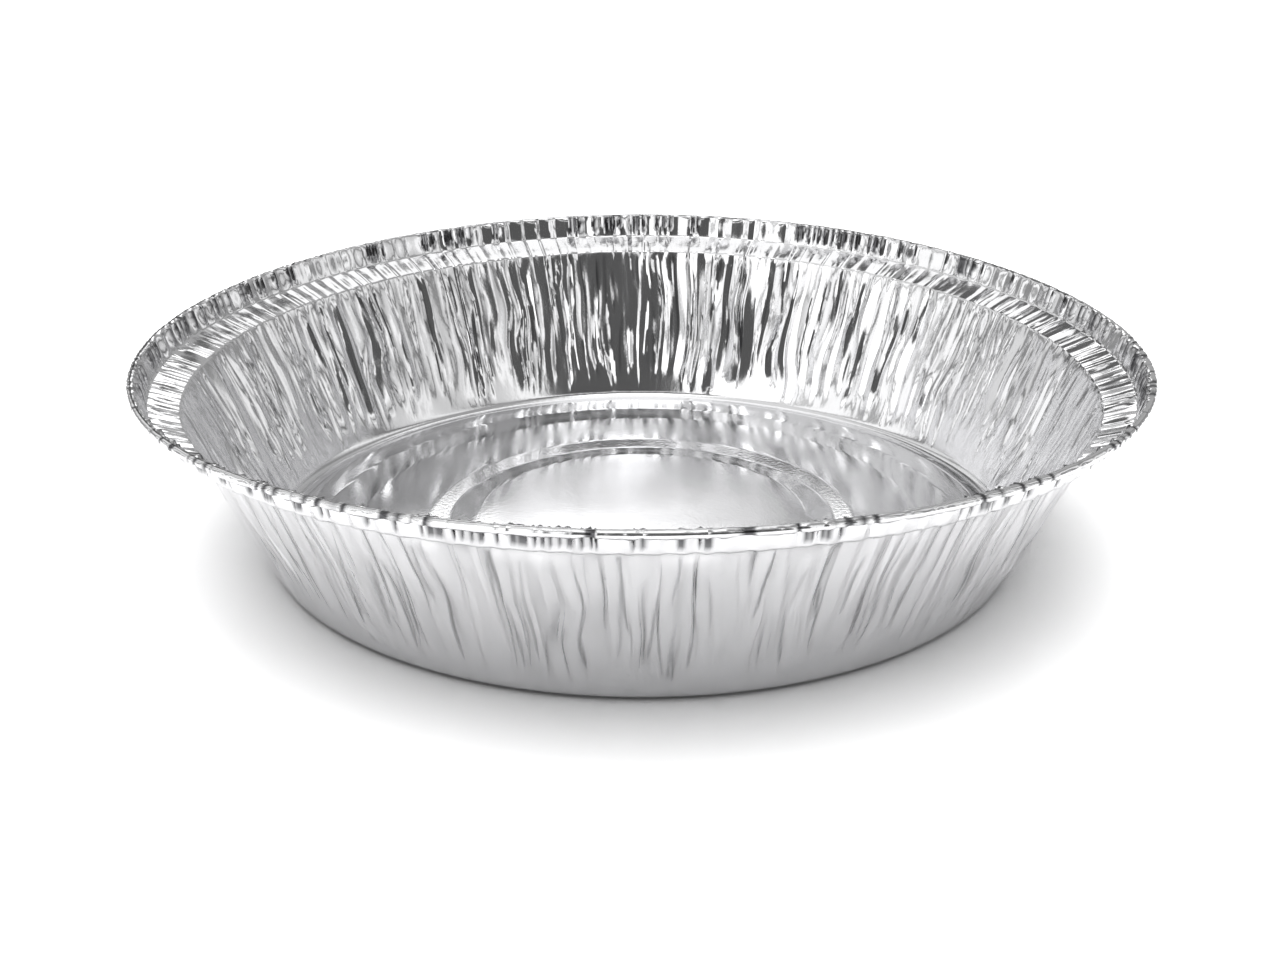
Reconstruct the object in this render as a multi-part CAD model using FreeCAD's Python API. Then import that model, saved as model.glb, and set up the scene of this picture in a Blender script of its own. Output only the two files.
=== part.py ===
import FreeCAD, Part
import math
import os
import random

# Round foil pie tin, pressed from one sheet of aluminium foil and drawn up into pleats.
# Z is up, the tin stands on z = 0 and its axis is the Z axis. All lengths are in millimetres.
# The section runs from the middle of the floor out to the edge rolled under the rim.

SIZES = (
    ("foil_thickness", 0.1, "thickness of the sheet"),
    ("base_radius", 87.6, "where the line of the wall would meet the table"),
    ("wall_flare", 16.6, "how much wider the wall is at its top"),
    ("wall_height", 38.2, "top of the wall above the table"),
    ("corner_bend", 3.0, "radius of the bend between floor and wall"),
    ("rest_width", 0.9, "flat ring that the tin stands on"),
    ("shoulder_width", 1.7, "slope from that ring up to the stamped floor"),
    ("outer_groove_fall", 5.9, "outer side of the outer groove"),
    ("outer_groove_rise", 9.8, "inner side of the outer groove"),
    ("panel_width", 16.3, "flat panel between the two grooves"),
    ("inner_groove_fall", 4.7, "outer side of the inner groove"),
    ("inner_groove_rise", 6.3, "inner side of the inner groove"),
    ("panel_height", 0.9, "stamped floor above the table"),
    ("groove_height", 0.2, "bottoms of the grooves above the table"),
    ("ledge_width", 7.0, "flange between the wall and the upright lip"),
    ("ledge_rise", 2.6, "how much the flange climbs outwards"),
    ("lip_flare", 1.85, "how far the upright lip leans outwards"),
    ("lip_height", 5.2, "upright lip above the flange"),
    ("curl_radius", 1.0, "rolled bead along the edge"),
    ("curl_turn", 290, "degrees that the edge is rolled through"),
    ("rim_saddle", 1.4, "front and back of the rim sprung up, left and right down"),
    ("pleat_count", 156, "pleats round the wall"),
    ("pleat_depth", 0.6, "crest to valley of a middling pleat"),
    ("pleat_foot", 7.0, "middling height at which the pleats begin"),
    ("foot_scatter", 3.5, "how far up or down that height wanders"),
    ("pleat_scatter", 0.3, "share of its pitch by which a fold wanders"),
    ("round_sides", 96, "sides of the round floor and bead"),
    ("bend_steps", 2, "steps round the floor's bend"),
    ("curl_steps", 5, "steps round the rolled bead"),
)
PLEAT_SEED = 23
SHALLOWEST_FOLD = 0.3  # shares of the pleat's depth, on either side of the plain wall
DEEPEST_FOLD = 0.7
SAME_POINT = 0.01  # share of the sheet's thickness within which two points are one
TIN_NAME = "foil_pie_tin"


def make_sheet(document):
    """The table of driving sizes, one named cell each."""
    sheet = document.addObject("Spreadsheet::Sheet", "Sizes")
    for row, (name, value, note) in enumerate(SIZES, start=1):
        sheet.set(f"A{row}", name)
        sheet.set(f"B{row}", str(value))
        sheet.setAlias(f"B{row}", name)
        sheet.set(f"C{row}", note)
    document.recompute()
    return sheet


def unit(x, y):
    """A direction of length one."""
    length = math.hypot(x, y)
    return x / length, y / length


def mitre(normal_a, normal_b):
    """Shift at a bend that moves both of its sides by one."""
    x, z = unit(normal_a[0] + normal_b[0], normal_a[1] + normal_b[1])
    share = x * normal_a[0] + z * normal_a[1]
    return x / share, z / share


def inward(step_r, step_z):
    """Normal of a stretch of the section, on the food's side."""
    r, z = unit(step_r, step_z)
    return -z, r


class Section:
    """Middle line of the sheet from the floor's centre to the rolled edge, as radius and height."""

    def __init__(self, sheet):
        self.sheet = sheet
        self.table = sheet.foil_thickness / 2
        self.bend_steps = int(sheet.bend_steps)
        self.curl_steps = int(sheet.curl_steps)
        self.wall_line = unit(sheet.wall_flare, sheet.wall_height)
        self.wall_top = (sheet.base_radius + sheet.wall_flare, sheet.wall_height + self.table)
        self.lip_foot = (self.wall_top[0] + sheet.ledge_width, self.wall_top[1] + sheet.ledge_rise)
        self.lip_top = (self.lip_foot[0] + sheet.lip_flare, self.lip_foot[1] + sheet.lip_height)
        turn = math.atan2(self.wall_line[1], self.wall_line[0])
        self.bend_turn = turn
        self.bend_reach = sheet.corner_bend * math.tan(turn / 2)

    def floor(self):
        """Stamped floor, from the rim of the centre disc to the start of the bend."""
        s = self.sheet
        low = self.table
        panel = low + s.panel_height
        groove = low + s.groove_height
        steps = (
            (s.rest_width, low),
            (s.shoulder_width, panel),
            (s.outer_groove_fall, groove),
            (s.outer_groove_rise, panel),
            (s.panel_width, panel),
            (s.inner_groove_fall, groove),
            (s.inner_groove_rise, panel),
        )
        radius = s.base_radius - self.bend_reach
        points = [(radius, low)]
        for width, height in steps:
            radius -= width
            points.append((radius, height))
        return points[::-1]

    def bend(self):
        """Round bend from the floor up into the wall."""
        s = self.sheet
        centre = (s.base_radius - self.bend_reach, self.table + s.corner_bend)
        points = []
        for step in range(1, self.bend_steps + 1):
            angle = self.bend_turn * step / self.bend_steps - math.pi / 2
            points.append((
                centre[0] + s.corner_bend * math.cos(angle),
                centre[1] + s.corner_bend * math.sin(angle),
            ))
        return points

    def wall_point(self, height):
        """Point of the wall at a height above the table."""
        share = height / self.sheet.wall_height
        return self.sheet.base_radius + self.sheet.wall_flare * share, self.table + height

    def curl(self):
        """Bead rolled outwards and under, from the top of the lip to the sheet's cut edge."""
        s = self.sheet
        lip = unit(s.lip_flare, s.lip_height)
        centre = (self.lip_top[0] + s.curl_radius * lip[1], self.lip_top[1] - s.curl_radius * lip[0])
        start = math.atan2(self.lip_top[1] - centre[1], self.lip_top[0] - centre[0])
        points = []
        for step in range(1, self.curl_steps + 1):
            angle = start - math.radians(s.curl_turn) * step / self.curl_steps
            points.append((
                centre[0] + s.curl_radius * math.cos(angle),
                centre[1] + s.curl_radius * math.sin(angle),
            ))
        return points

    def top_shift(self):
        """How a fold moves the edge between wall and flange."""
        ledge = inward(self.sheet.ledge_width, self.sheet.ledge_rise)
        return mitre(inward(*self.wall_line), ledge)

    def foot_shift(self):
        """How a fold moves the crease between flange and lip."""
        ledge = inward(self.sheet.ledge_width, self.sheet.ledge_rise)
        return mitre(ledge, inward(self.sheet.lip_flare, self.sheet.lip_height))

    def lip_shift(self):
        """How a fold moves the top of the lip."""
        return inward(self.sheet.lip_flare, self.sheet.lip_height)


def scatter(source, reach):
    """A seeded number between minus and plus the reach."""
    return reach * (2 * source.random() - 1)


def pleat_folds(sheet):
    """Crest and valley lines round the wall, each with its own place, lean, depth and foot."""
    source = random.Random(PLEAT_SEED)
    count = 2 * int(sheet.pleat_count)
    pitch = 2 * math.pi / count
    folds = []
    for index in range(count):
        side = 1 if index % 2 == 0 else -1
        folds.append({
            "low": pitch * index + scatter(source, pitch * sheet.pleat_scatter),
            "high": pitch * index + scatter(source, pitch * sheet.pleat_scatter),
            "foot": sheet.pleat_foot + scatter(source, sheet.foot_scatter),
            "wall": side * sheet.pleat_depth * source.uniform(SHALLOWEST_FOLD, DEEPEST_FOLD),
            "lip": side * sheet.pleat_depth * source.uniform(SHALLOWEST_FOLD, DEEPEST_FOLD),
        })
    return folds


class Sheet:
    """Middle surface of the foil as points and triangles, thickened into a solid."""

    def __init__(self, rim_height, saddle, start_height):
        self.points = []
        self.triangles = []
        self.saddle = saddle
        self.start_height = start_height
        self.climb = rim_height - start_height

    def place(self, angle, radius, height):
        """Add a point; the rim's spring grows with the height above the bend."""
        share = max(height - self.start_height, 0) / self.climb
        lift = -self.saddle * share * math.cos(2 * angle)
        spot = FreeCAD.Vector(radius * math.cos(angle), radius * math.sin(angle), height + lift)
        self.points.append(spot)
        return len(self.points) - 1

    def round_ring(self, sides, radius, height):
        """A plain ring of points."""
        angles = [2 * math.pi * side / sides for side in range(sides)]
        return [(angle, self.place(angle, radius, height)) for angle in angles]

    def fold_ring(self, angles, spots):
        """A ring with one point on each fold, from its angle and its radius and height."""
        return [(angle, self.place(angle, radius, height)) for angle, (radius, height) in zip(angles, spots)]

    def disc(self, ring):
        """Flat middle of the floor, as a fan about its own centre."""
        first = self.points[ring[0][1]]
        centre = self.place(0, 0, first.z)
        for side in range(len(ring)):
            self.triangles.append((centre, ring[side][1], ring[(side + 1) % len(ring)][1]))

    def band(self, inner, outer):
        """Join two rings that have a point for a point."""
        count = len(inner)
        for side in range(count):
            after = (side + 1) % count
            self.triangles.append((inner[side][1], outer[side][1], outer[after][1]))
            self.triangles.append((inner[side][1], outer[after][1], inner[after][1]))

    def seam(self, inner, outer):
        """Join two rings of different counts, always taking the nearer next point."""
        turn = 2 * math.pi
        inner_side = 0
        outer_side = 0
        while inner_side < len(inner) or outer_side < len(outer):
            near = inner[inner_side % len(inner)][1]
            far = outer[outer_side % len(outer)][1]
            inner_next = inner[(inner_side + 1) % len(inner)]
            outer_next = outer[(outer_side + 1) % len(outer)]
            inner_angle = inner_next[0] + turn * ((inner_side + 1) // len(inner))
            outer_angle = outer_next[0] + turn * ((outer_side + 1) // len(outer))
            step_inner = outer_side >= len(outer)
            if inner_side < len(inner) and inner_angle < outer_angle:
                step_inner = True
            if step_inner:
                self.triangles.append((near, far, inner_next[1]))
                inner_side += 1
            else:
                self.triangles.append((near, far, outer_next[1]))
                outer_side += 1

    def offsets(self, distance):
        """At each point, the shift that moves every facet round it by about the distance."""
        around = [[] for _ in self.points]
        for corners in self.triangles:
            spots = [self.points[corner] for corner in corners]
            facet = (spots[1] - spots[0]).cross(spots[2] - spots[0])
            facet.normalize()
            for place, corner in enumerate(corners):
                one = spots[(place + 1) % 3] - spots[place]
                two = spots[(place + 2) % 3] - spots[place]
                around[corner].append((facet, one.getAngle(two)))
        shifts = []
        for facets in around:
            normal = FreeCAD.Vector(0, 0, 0)
            for facet, angle in facets:
                normal += facet * angle
            normal.normalize()
            whole = sum(angle for _, angle in facets)
            share = sum(facet.dot(normal) * angle for facet, angle in facets) / whole
            shifts.append(normal * (distance / share))
        return shifts

    def solid(self, thickness, edge):
        """Both faces of the foil, closed along the cut edge."""
        shifts = self.offsets(thickness / 2)
        count = len(self.points)
        above = [spot + shift for spot, shift in zip(self.points, shifts)]
        below = [spot - shift for spot, shift in zip(self.points, shifts)]
        facets = list(self.triangles)
        facets += [(a + count, c + count, b + count) for a, b, c in self.triangles]
        for side in range(len(edge)):
            one = edge[side][1]
            two = edge[(side + 1) % len(edge)][1]
            facets.append((one, one + count, two + count))
            facets.append((one, two + count, two))
        skin = Part.Shape()
        skin.makeShapeFromMesh(([tuple(spot) for spot in above + below], facets), thickness * SAME_POINT)
        return Part.Solid(Part.Shell(skin.Faces))


def foil_pie_tin(sheet):
    """The whole tin: stamped floor, pleated wall, flange and lip, and the rolled rim."""
    section = Section(sheet)
    sides = int(sheet.round_sides)
    folds = pleat_folds(sheet)
    bend = section.bend()
    curl = section.curl()
    rim_height = max(height for _, height in curl)
    foil = Sheet(rim_height, sheet.rim_saddle, bend[-1][1])

    plain = section.floor() + bend[:-1]
    rings = [foil.round_ring(sides, radius, height) for radius, height in plain]
    foil.disc(rings[0])
    for inner, outer in zip(rings, rings[1:]):
        foil.band(inner, outer)

    low = [fold["low"] for fold in folds]
    high = [fold["high"] for fold in folds]

    def folded(spot, shift, stretch):
        """A corner of the section, moved to each fold's own depth."""
        return [(spot[0] + shift[0] * fold[stretch], spot[1] + shift[1] * fold[stretch]) for fold in folds]

    pleated = [
        foil.fold_ring(low, [bend[-1] for _ in folds]),
        foil.fold_ring(low, [section.wall_point(fold["foot"]) for fold in folds]),
        foil.fold_ring(high, folded(section.wall_top, section.top_shift(), "wall")),
        foil.fold_ring(high, folded(section.lip_foot, section.foot_shift(), "lip")),
        foil.fold_ring(high, folded(section.lip_top, section.lip_shift(), "lip")),
    ]
    foil.seam(rings[-1], pleated[0])
    for inner, outer in zip(pleated, pleated[1:]):
        foil.band(inner, outer)

    bead = [foil.round_ring(sides, radius, height) for radius, height in curl]
    foil.seam(pleated[-1], bead[0])
    for inner, outer in zip(bead, bead[1:]):
        foil.band(inner, outer)
    return foil.solid(sheet.foil_thickness, bead[-1])


def check(document):
    """Stop if any object failed or any solid is not sound."""
    for item in document.Objects:
        if "Invalid" in item.State or "Error" in item.State:
            raise RuntimeError(f"{item.Label} did not recompute: {item.State}")
        if item.isDerivedFrom("Part::Feature"):
            shape = item.Shape
            if shape.isNull() or not shape.isValid() or shape.Volume <= 0:
                raise RuntimeError(f"{item.Label} is not a sound solid")


document = FreeCAD.newDocument("FoilPieTin")
sizes = make_sheet(document)
tin = document.addObject("Part::Feature", TIN_NAME)
tin.Label = TIN_NAME
tin.Shape = foil_pie_tin(sizes)
tin.Placement = FreeCAD.Placement()
document.recompute()
check(document)

os.makedirs("parts", exist_ok=True)
tin.Shape.exportStep(f"parts/{TIN_NAME}.step")
box = tin.Shape.BoundBox
print(f"{TIN_NAME}: {len(tin.Shape.Faces)} faces, volume {tin.Shape.Volume:.1f}")
print(f"x {box.XMin:.2f} {box.XMax:.2f}, y {box.YMin:.2f} {box.YMax:.2f}, z {box.ZMin:.3f} {box.ZMax:.2f}")
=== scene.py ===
"""Looks of a round foil pie tin: one pressed and pleated sheet of bright foil on a white table.

Lengths in the classes of the tin are millimetres, as on the drawing of its section; the mesh is in metres.
"""

import logging
import math
import random
import sys
from dataclasses import dataclass, field
from enum import Enum

import bpy
import numpy as np
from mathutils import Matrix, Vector

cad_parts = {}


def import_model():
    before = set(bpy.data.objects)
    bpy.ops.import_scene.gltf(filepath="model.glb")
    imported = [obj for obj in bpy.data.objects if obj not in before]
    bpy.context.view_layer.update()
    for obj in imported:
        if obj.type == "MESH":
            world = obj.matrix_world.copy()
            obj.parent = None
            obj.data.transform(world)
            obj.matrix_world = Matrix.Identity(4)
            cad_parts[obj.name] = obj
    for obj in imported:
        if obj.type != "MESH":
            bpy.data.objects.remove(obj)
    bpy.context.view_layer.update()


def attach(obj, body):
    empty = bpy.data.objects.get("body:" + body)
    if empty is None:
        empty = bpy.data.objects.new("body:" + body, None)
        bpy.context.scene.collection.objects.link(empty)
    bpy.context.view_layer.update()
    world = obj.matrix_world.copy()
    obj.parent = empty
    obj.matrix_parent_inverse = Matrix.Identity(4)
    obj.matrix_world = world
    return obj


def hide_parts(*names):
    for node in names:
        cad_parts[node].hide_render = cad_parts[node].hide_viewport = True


TIN_NODE = "foil_pie_tin"
ROOT_BODY = "root"
BRIGHTNESS = "brightness"
# name of the mesh value that holds painted shade for the foil's colour
PAINTED_SHADE = "painted_shade"
STAMPED = "stamped"
MM = 0.001
FULL_TURN = 2 * math.pi

log = logging.getLogger("foil_pie_tin")
Point = tuple[float, float]
Range = tuple[float, float]
Cells = tuple[int, int]
Tree = bpy.types.NodeTree
Socket = bpy.types.NodeSocket


class Zone(Enum):
    """Stretch of the section that a row of the mesh belongs to."""

    BEND = "bend"
    WALL = "wall"
    LEDGE = "ledge"
    LIP = "lip"
    CURL = "curl"


def unit(across: float, up: float) -> Point:
    """A direction of length one."""
    length = math.hypot(across, up)
    return across / length, up / length


def inward(across: float, up: float) -> Point:
    """Normal of a stretch of the section, on the food's side."""
    along = unit(across, up)
    return -along[1], along[0]


def mitre(one: Point, two: Point) -> Point:
    """Shift at a bend that moves both of its sides by one.

    Args:
        one: Normal of one side.
        two: Normal of the other side.

    Returns:
        The shift.
    """
    across, up = unit(one[0] + two[0], one[1] + two[1])
    share = across * one[0] + up * one[1]
    return across / share, up / share


def eased_corner(before: float, corner: float, after: float) -> float:
    """A corner's place, drawn in a little between its neighbours'."""
    return (before + 2 * corner + after) / 4


def smooth_step(value: np.ndarray) -> np.ndarray:
    """Ease from zero to one."""
    clipped = np.clip(value, 0.0, 1.0)
    return clipped * clipped * (3.0 - 2.0 * clipped)


def lens(climb: float, middle: np.ndarray, reach: np.ndarray) -> np.ndarray:
    """Swelling of a crease along its own length, zero beyond its ends."""
    return np.clip(1.0 - ((climb - middle) / reach) ** 2, 0.0, 1.0)


def placed(name: str, data: bpy.types.ID) -> bpy.types.Object:
    """Put a new object in the scene.

    Args:
        name: Its name.
        data: Its mesh, lamp or camera.

    Returns:
        The object.
    """
    thing = bpy.data.objects.new(name, data)
    bpy.context.scene.collection.objects.link(thing)
    return thing


def ranged(tree: Tree, source: Socket, low: float, high: float) -> Socket:
    """A value that follows another between two ends.

    Args:
        tree: Where the node goes.
        source: The value that it follows, from 0 to 1.
        low: Value at 0.
        high: Value at 1.

    Returns:
        The new value.
    """
    node = tree.nodes.new("ShaderNodeMapRange")
    node.inputs["To Min"].default_value = low
    node.inputs["To Max"].default_value = high
    tree.links.new(source, node.inputs["Value"])
    return node.outputs["Result"]


def combined(tree: Tree, operation: str, one: Socket, two: Socket) -> Socket:
    """Two values put together.

    Args:
        tree: Where the node goes.
        operation: The sum to do.
        one: First value.
        two: Second value.

    Returns:
        The new value.
    """
    node = tree.nodes.new("ShaderNodeMath")
    node.operation = operation
    tree.links.new(one, node.inputs[0])
    tree.links.new(two, node.inputs[1])
    return node.outputs["Value"]


def kept_value(tree: Tree, name: str) -> Socket:
    """A value that the mesh keeps on its points.

    Args:
        tree: Where the node goes.
        name: Name of the value.

    Returns:
        The value.
    """
    node = tree.nodes.new("ShaderNodeAttribute")
    node.attribute_name = name
    return node.outputs["Fac"]


def clouds(tree: Tree, place: Socket, size: float, detail: float) -> Socket:
    """Noise through the whole object.

    Args:
        tree: Where the node goes.
        place: Where on the object.
        size: Size of a cloud, in metres.
        detail: How many finer layers it has.

    Returns:
        The noise, from 0 to 1.
    """
    node = tree.nodes.new("ShaderNodeTexNoise")
    node.inputs["Scale"].default_value = 1.0 / size
    node.inputs["Detail"].default_value = detail
    tree.links.new(place, node.inputs["Vector"])
    return node.outputs["Fac"]


class SmoothNoise:
    """Seeded noise over the unrolled wall, smooth and closed round the tin."""

    def __init__(self, source: np.random.Generator, around: int, up: int) -> None:
        """Draw the noise.

        Args:
            source: Where the numbers come from.
            around: Cells round the tin.
            up: Cells from the wall's foot to its top.
        """
        self.around = around
        self.up = up
        self.grid = source.standard_normal((up + 2, around))

    def at(self, angles: np.ndarray, climb: float) -> np.ndarray:
        """Noise along a ring.

        Args:
            angles: Angle of each point.
            climb: Share of the way up.

        Returns:
            One value for each point, about as wide as one.
        """
        place = (angles / FULL_TURN * self.around) % self.around
        column = np.floor(place).astype(int) % self.around
        share = smooth_step(place - np.floor(place))
        after = (column + 1) % self.around
        height = min(max(climb, 0.0), 1.0) * self.up
        row = int(height)
        rise = smooth_step(np.array(height - row))
        low = self.grid[row][column] * (1 - share) + self.grid[row][after] * share
        high = self.grid[row + 1][column] * (1 - share) + self.grid[row + 1][after] * share
        return low + (high - low) * rise


@dataclass(frozen=True)
class Row:
    """One ring of the pleated part of the sheet.

    Args:
        zone: The stretch that the ring is in.
        radius: Radius of the unpleated ring.
        height: Height of the unpleated ring.
        shift: Direction in which a fold moves the ring.
        share: How much of a fold's depth shows here.
    """

    zone: Zone
    radius: float
    height: float
    shift: Point
    share: float


@dataclass
class Section:
    """Middle line of the sheet, from the floor's centre to the rolled edge."""

    # sizes of the drawing
    foil_thickness: float = 0.1
    base_radius: float = 87.6
    wall_flare: float = 16.6
    wall_height: float = 38.2
    corner_bend: float = 3.0
    rest_width: float = 0.9
    shoulder_width: float = 1.7
    outer_groove_fall: float = 5.9
    outer_groove_rise: float = 9.8
    panel_width: float = 16.3
    inner_groove_fall: float = 4.7
    inner_groove_rise: float = 6.3
    panel_height: float = 0.9
    groove_height: float = 0.2
    ledge_width: float = 7.0
    ledge_rise: float = 2.6
    lip_flare: float = 1.85
    lip_height: float = 5.2
    curl_radius: float = 0.97
    curl_turn: float = 290.0

    # rings of the mesh
    curl_shares: tuple[float, ...] = (0.5, 1.0, 1.0, 1.0, 1.0, 2.0, 4.0, 7.0)
    edge_rounding: float = 0.45
    crease_rounding: float = 0.6
    rounding_room: float = 3.0
    wide_stretch: float = 8.0
    disc_rings: int = 6
    bend_rows: int = 5
    wall_rows: int = 28
    ledge_rows: int = 2
    lip_rows: int = 3

    # how much of a fold shows on the edges between the stretches
    edge_share: float = 0.6
    foot_share: float = 0.4
    top_share: float = 0.7

    @property
    def table(self) -> float:
        """Height of the middle line where the sheet lies on the table."""
        return self.foil_thickness / 2

    @property
    def bend_turn(self) -> float:
        """Angle between floor and wall, in radians."""
        return math.atan2(self.wall_height, self.wall_flare)

    @property
    def bend_start(self) -> float:
        """Radius at which the floor starts to bend up."""
        return self.base_radius - self.corner_bend * math.tan(self.bend_turn / 2)

    @property
    def wall_top(self) -> Point:
        """Edge between wall and flange."""
        return self.base_radius + self.wall_flare, self.table + self.wall_height

    @property
    def lip_foot(self) -> Point:
        """Crease between flange and lip."""
        return self.wall_top[0] + self.ledge_width, self.wall_top[1] + self.ledge_rise

    @property
    def lip_top(self) -> Point:
        """Where the lip runs into the rolled bead."""
        return self.lip_foot[0] + self.lip_flare, self.lip_foot[1] + self.lip_height

    def floor_creases(self) -> list[Point]:
        """Creases of the stamped floor.

        Returns:
            Radius and height of each, from the middle outwards.
        """
        panel = self.table + self.panel_height
        groove = self.table + self.groove_height
        steps = (
            (self.rest_width, self.table),
            (self.shoulder_width, panel),
            (self.outer_groove_fall, groove),
            (self.outer_groove_rise, panel),
            (self.panel_width, panel),
            (self.inner_groove_fall, groove),
            (self.inner_groove_rise, panel),
        )
        radius = self.bend_start
        creases = [(radius, self.table)]
        for width, height in steps:
            radius -= width
            creases.append((radius, height))
        return creases[::-1]

    def floor_rings(self) -> list[Point]:
        """Rings of the floor, with each crease rounded and the wide stretches cut up.

        Returns:
            Radius and height of each, from the middle outwards.
        """
        creases = self.floor_creases()
        radii = [radius for radius, _ in creases]
        heights = [height for _, height in creases]

        def height_at(radius: float) -> float:
            """Height of the stamped floor at a radius."""
            return float(np.interp(radius, radii, heights))

        first = radii[0]
        rings = [(first * step / self.disc_rings, heights[0]) for step in range(1, self.disc_rings)]
        for place in range(len(creases) - 1):
            radius, height = creases[place]
            gap = radii[place + 1] - radius
            before = gap if place == 0 else radius - radii[place - 1]
            reach = min(self.crease_rounding, gap / self.rounding_room, before / self.rounding_room)
            low = height_at(radius - reach)
            high = height_at(radius + reach)
            rings += [(radius - reach, low), (radius, eased_corner(low, height, high))]
            rings.append((radius + reach, high))
            if gap > self.wide_stretch * reach:
                middle = radius + gap / 2
                rings.append((middle, height_at(middle)))
        rings.append(creases[-1])
        return rings

    def stretch(self, zone: Zone, start: Point, end: Point, count: int) -> list[Row]:
        """Evenly spaced rings between two points of the section, both left out.

        Args:
            zone: Zone of the rings.
            start: Where the stretch starts.
            end: Where it ends.
            count: How many rings.

        Returns:
            The rings, on which the folds show in full.
        """
        across = end[0] - start[0]
        up = end[1] - start[1]
        shift = inward(across, up)
        rows = []
        for step in range(1, count + 1):
            part = step / (count + 1)
            rows.append(Row(zone, start[0] + across * part, start[1] + up * part, shift, 1.0))
        return rows

    def rounded(self, zone: Zone, spot: Point, before: Point, after: Point, share: float) -> list[Row]:
        """Three rings round a crease of the section.

        Args:
            zone: Zone of the rings.
            spot: The crease.
            before: Direction of the section before it.
            after: Direction of the section after it.
            share: How much of a fold shows there.

        Returns:
            The rings, the middle one drawn in a little.
        """
        reach = self.edge_rounding
        low = (spot[0] - before[0] * reach, spot[1] - before[1] * reach)
        high = (spot[0] + after[0] * reach, spot[1] + after[1] * reach)
        middle = (eased_corner(low[0], spot[0], high[0]), eased_corner(low[1], spot[1], high[1]))
        shift = mitre(inward(*before), inward(*after))
        return [
            Row(zone, low[0], low[1], inward(*before), share),
            Row(zone, middle[0], middle[1], shift, share),
            Row(zone, high[0], high[1], inward(*after), share),
        ]

    def bend(self) -> list[Row]:
        """Rings round the bend between floor and wall.

        Returns:
            The rings, from the floor's edge up.
        """
        centre_height = self.table + self.corner_bend
        rows = []
        for step in range(1, self.bend_rows + 1):
            turn = self.bend_turn * step / self.bend_rows
            radius = self.bend_start + self.corner_bend * math.sin(turn)
            height = centre_height - self.corner_bend * math.cos(turn)
            rows.append(Row(Zone.BEND, radius, height, (-math.sin(turn), math.cos(turn)), 0.0))
        return rows

    def curl(self) -> list[Row]:
        """Rings round the rolled bead.

        Returns:
            The rings, from the lip's top round to the cut edge.
        """
        lean = unit(self.lip_flare, self.lip_height)
        top = self.lip_top
        centre = (top[0] + self.curl_radius * lean[1], top[1] - self.curl_radius * lean[0])
        start = math.atan2(top[1] - centre[1], top[0] - centre[0])
        rows = []
        for step, share in enumerate(self.curl_shares, start=1):
            angle = start - math.radians(self.curl_turn) * step / len(self.curl_shares)
            out = (math.cos(angle), math.sin(angle))
            radius = centre[0] + self.curl_radius * out[0]
            height = centre[1] + self.curl_radius * out[1]
            rows.append(Row(Zone.CURL, radius, height, out, share))
        return rows

    def rows(self) -> list[Row]:
        """Every ring of the pleated part.

        Returns:
            The rings, from the bend to the cut edge.
        """
        wall = unit(self.wall_flare, self.wall_height)
        ledge = unit(self.ledge_width, self.ledge_rise)
        lip = unit(self.lip_flare, self.lip_height)
        rows = self.bend()
        start = (rows[-1].radius, rows[-1].height)
        edge = self.rounded(Zone.LEDGE, self.wall_top, wall, ledge, self.edge_share)
        crease = self.rounded(Zone.LIP, self.lip_foot, ledge, lip, self.foot_share)
        rows += self.stretch(Zone.WALL, start, (edge[0].radius, edge[0].height), self.wall_rows)
        rows += edge
        edge_end = (edge[-1].radius, edge[-1].height)
        crease_start = (crease[0].radius, crease[0].height)
        rows += self.stretch(Zone.LEDGE, edge_end, crease_start, self.ledge_rows)
        rows += crease
        crease_end = (crease[-1].radius, crease[-1].height)
        rows += self.stretch(Zone.LIP, crease_end, self.lip_top, self.lip_rows)
        rows.append(Row(Zone.LIP, self.lip_top[0], self.lip_top[1], inward(*lip), self.top_share))
        return rows + self.curl()


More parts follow.
